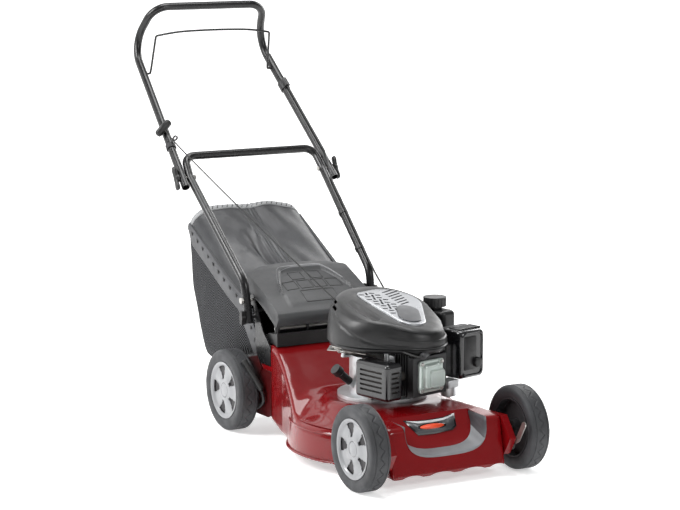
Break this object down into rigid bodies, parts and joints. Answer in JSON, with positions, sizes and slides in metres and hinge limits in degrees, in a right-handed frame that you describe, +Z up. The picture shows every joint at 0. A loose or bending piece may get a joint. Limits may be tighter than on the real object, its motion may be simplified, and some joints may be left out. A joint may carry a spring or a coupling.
{
  "type": "push lawn mower",
  "caption": "Walk-behind petrol push mower: pressed steel deck, vertical-shaft engine, folding tube handle, cut-height levers, rear flap and grass bag.",
  "frame": {"origin": "on the ground under the middle of the mower's overall box", "axes": "+Z up, the mower's front faces -Y, the operator's right is -X, the operator stands at +Y"},
  "size_m": [0.504, 1.4346, 1.0968],
  "materials": {
    "deck_red": "glossy metallic paint",
    "bracket_red": "glossy metallic paint",
    "bumper_grey": "moulded grey plastic",
    "zinc_steel": "zinc plated",
    "lever_rubber": "dipped sleeve",
    "rim_grey": "silver-grey moulded wheel",
    "tyre_black": "moulded tread",
    "handle_black": "satin powder coat",
    "black_plastic": "moulded plastic",
    "shroud_black": "satin moulded cover",
    "grille_silver": "pressed grille",
    "cast_alloy": "as cast",
    "iron": "as cast",
    "plug_white": "plug cap",
    "flap_grey": "moulded grey plastic",
    "bag_cloth": "woven mesh",
    "bag_vinyl": "coated cloth",
    "cord_black": "braided cord",
    "cable_black": "cable sheath"
  },
  "bodies": {
    "deck": {"deck_shell": "deck_red", "front_bumper": "bumper_grey", "front_axle_brackets": "bracket_red", "rear_axle_brackets": "bracket_red", "handle_brackets": "handle_black", "pivot_bolts": "zinc_steel", "crankcase": "cast_alloy", "engine_bolts": "zinc_steel", "cylinder": "cast_alloy", "valve_cover": "cast_alloy", "spark_plug": "plug_white", "muffler_guard": "handle_black", "muffler": "iron", "carburetor": "cast_alloy", "air_filter_base": "black_plastic", "air_filter_cover": "black_plastic", "fuel_tank": "black_plastic", "engine_shroud": "shroud_black", "shroud_grille": "grille_silver", "control_plate": "zinc_steel", "chute_frame": "black_plastic", "flap_pin": "zinc_steel", "starter_rope": "cord_black", "brake_cable": "cable_black"},
    "rotor": {"crankshaft": "zinc_steel", "flywheel": "iron", "blade_hub": "cast_alloy", "blade": "handle_black", "blade_bolt": "zinc_steel"},
    "front_axle_crank": {"front_axle": "zinc_steel", "front_height_lever": "zinc_steel"},
    "rear_axle_crank": {"rear_axle": "zinc_steel", "rear_height_lever": "zinc_steel", "rear_lever_sleeve": "lever_rubber"},
    "front_right_wheel": {"front_right_rim": "rim_grey", "front_right_tyre": "tyre_black"},
    "front_left_wheel": {"front_left_rim": "rim_grey", "front_left_tyre": "tyre_black"},
    "rear_right_wheel": {"rear_right_rim": "rim_grey", "rear_right_tyre": "tyre_black"},
    "rear_left_wheel": {"rear_left_rim": "rim_grey", "rear_left_tyre": "tyre_black"},
    "lower_handle_frame": {"lower_handle": "handle_black", "lock_knobs": "black_plastic", "fold_bolts": "zinc_steel", "cable_clips": "black_plastic"},
    "upper_handle_frame": {"upper_handle": "handle_black", "rope_guide": "zinc_steel", "cable_bracket": "black_plastic"},
    "right_wing": {"wing_knob_right": "black_plastic"},
    "left_wing": {"wing_knob_left": "black_plastic"},
    "bail_bar": {"bail": "handle_black"},
    "pull_grip": {"starter_grip": "black_plastic"},
    "flap": {"rear_flap": "flap_grey"},
    "bag": {"bag_net": "bag_cloth", "bag_cover": "bag_vinyl", "bag_frame": "black_plastic"},
    "fuel_cap_body": {"fuel_cap": "black_plastic"},
    "dipstick_body": {"dipstick": "black_plastic"},
    "brake_arm": {"brake_lever": "zinc_steel"}
  },
  "joints": [
    {"name": "front_height_adjust", "type": "hinge", "parent": "deck", "child": "front_axle_crank", "pos_m": [0, -0.6323, 0.067], "axis": [1, 0, 0], "range_deg": [-58, 15]},
    {"name": "rear_height_adjust", "type": "hinge", "parent": "deck", "child": "rear_axle_crank", "pos_m": [0, 0.0727, 0.0695], "axis": [1, 0, 0], "range_deg": [-58, 15]},
    {"name": "front_right_spin", "type": "hinge", "parent": "front_axle_crank", "child": "front_right_wheel", "pos_m": [0, -0.6123, 0.105], "axis": [1, 0, 0], "continuous": true},
    {"name": "front_left_spin", "type": "hinge", "parent": "front_axle_crank", "child": "front_left_wheel", "pos_m": [0, -0.6123, 0.105], "axis": [1, 0, 0], "continuous": true},
    {"name": "rear_right_spin", "type": "hinge", "parent": "rear_axle_crank", "child": "rear_right_wheel", "pos_m": [0, 0.0927, 0.1075], "axis": [1, 0, 0], "continuous": true},
    {"name": "rear_left_spin", "type": "hinge", "parent": "rear_axle_crank", "child": "rear_left_wheel", "pos_m": [0, 0.0927, 0.1075], "axis": [1, 0, 0], "continuous": true},
    {"name": "crankshaft_spin", "type": "hinge", "parent": "deck", "child": "rotor", "pos_m": [0, -0.3323, 0], "axis": [0, 0, 1], "continuous": true},
    {"name": "lower_handle_fold", "type": "hinge", "parent": "deck", "child": "lower_handle_frame", "pos_m": [0, 0.0547, 0.35], "axis": [-1, 0, 0], "range_deg": [-110, 0], "deforming": ["starter_rope", "brake_cable"]},
    {"name": "upper_handle_fold", "type": "hinge", "parent": "lower_handle_frame", "child": "upper_handle_frame", "pos_m": [0, 0.3547, 0.641], "axis": [1, 0, 0], "range_deg": [0, 155], "deforming": ["starter_rope", "brake_cable"]},
    {"name": "right_wing_turn", "type": "hinge", "parent": "lower_handle_frame", "child": "right_wing", "pos_m": [-0.245, 0.3547, 0.641], "axis": [-1, 0, 0], "continuous": true},
    {"name": "left_wing_turn", "type": "hinge", "parent": "lower_handle_frame", "child": "left_wing", "pos_m": [0.245, 0.3547, 0.641], "axis": [1, 0, 0], "continuous": true},
    {"name": "bail_squeeze", "type": "hinge", "parent": "upper_handle_frame", "child": "bail_bar", "pos_m": [0, 0.6497, 0.9], "axis": [-1, 0, 0], "range_deg": [0, 36], "stiffness_Nm_per_rad": 1.2, "springref_deg": -22.92, "deforming": ["brake_cable"]},
    {"name": "starter_pull", "type": "slide", "parent": "upper_handle_frame", "child": "pull_grip", "axis": [-0.2494, 0.5486, 0.798], "range_m": [0, 0.5], "stiffness_N_per_m": 15, "springref_m": -0.4, "deforming": ["starter_rope"]},
    {"name": "flap_open", "type": "hinge", "parent": "deck", "child": "flap", "pos_m": [0, -0.0453, 0.288], "axis": [1, 0, 0], "range_deg": [0, 58], "stiffness_Nm_per_rad": 0.6, "springref_deg": -45.84, "deforming": ["starter_rope"]},
    {"name": "bag_lift_off", "type": "slide", "parent": "deck", "child": "bag", "axis": [0, 1, 0], "range_m": [0, 0.35]},
    {"name": "fuel_cap_turn", "type": "hinge", "parent": "deck", "child": "fuel_cap_body", "pos_m": [0.16984, -0.30335, 0.39], "axis": [0, 0, 1], "range_deg": [0, 90]},
    {"name": "dipstick_draw", "type": "slide", "parent": "deck", "child": "dipstick_body", "axis": [-0.7555, -0.0562, 0.6528], "range_m": [0, 0.06]},
    {"name": "brake_arm_swing", "type": "hinge", "parent": "deck", "child": "brake_arm", "pos_m": [0.02727, -0.21927, 0.277], "axis": [0, 0, -1], "range_deg": [0, 20]}
  ],
  "couplings": [
    {"joint": "brake_arm_swing", "follows": "bail_squeeze", "ratio": 0.5}
  ]
}
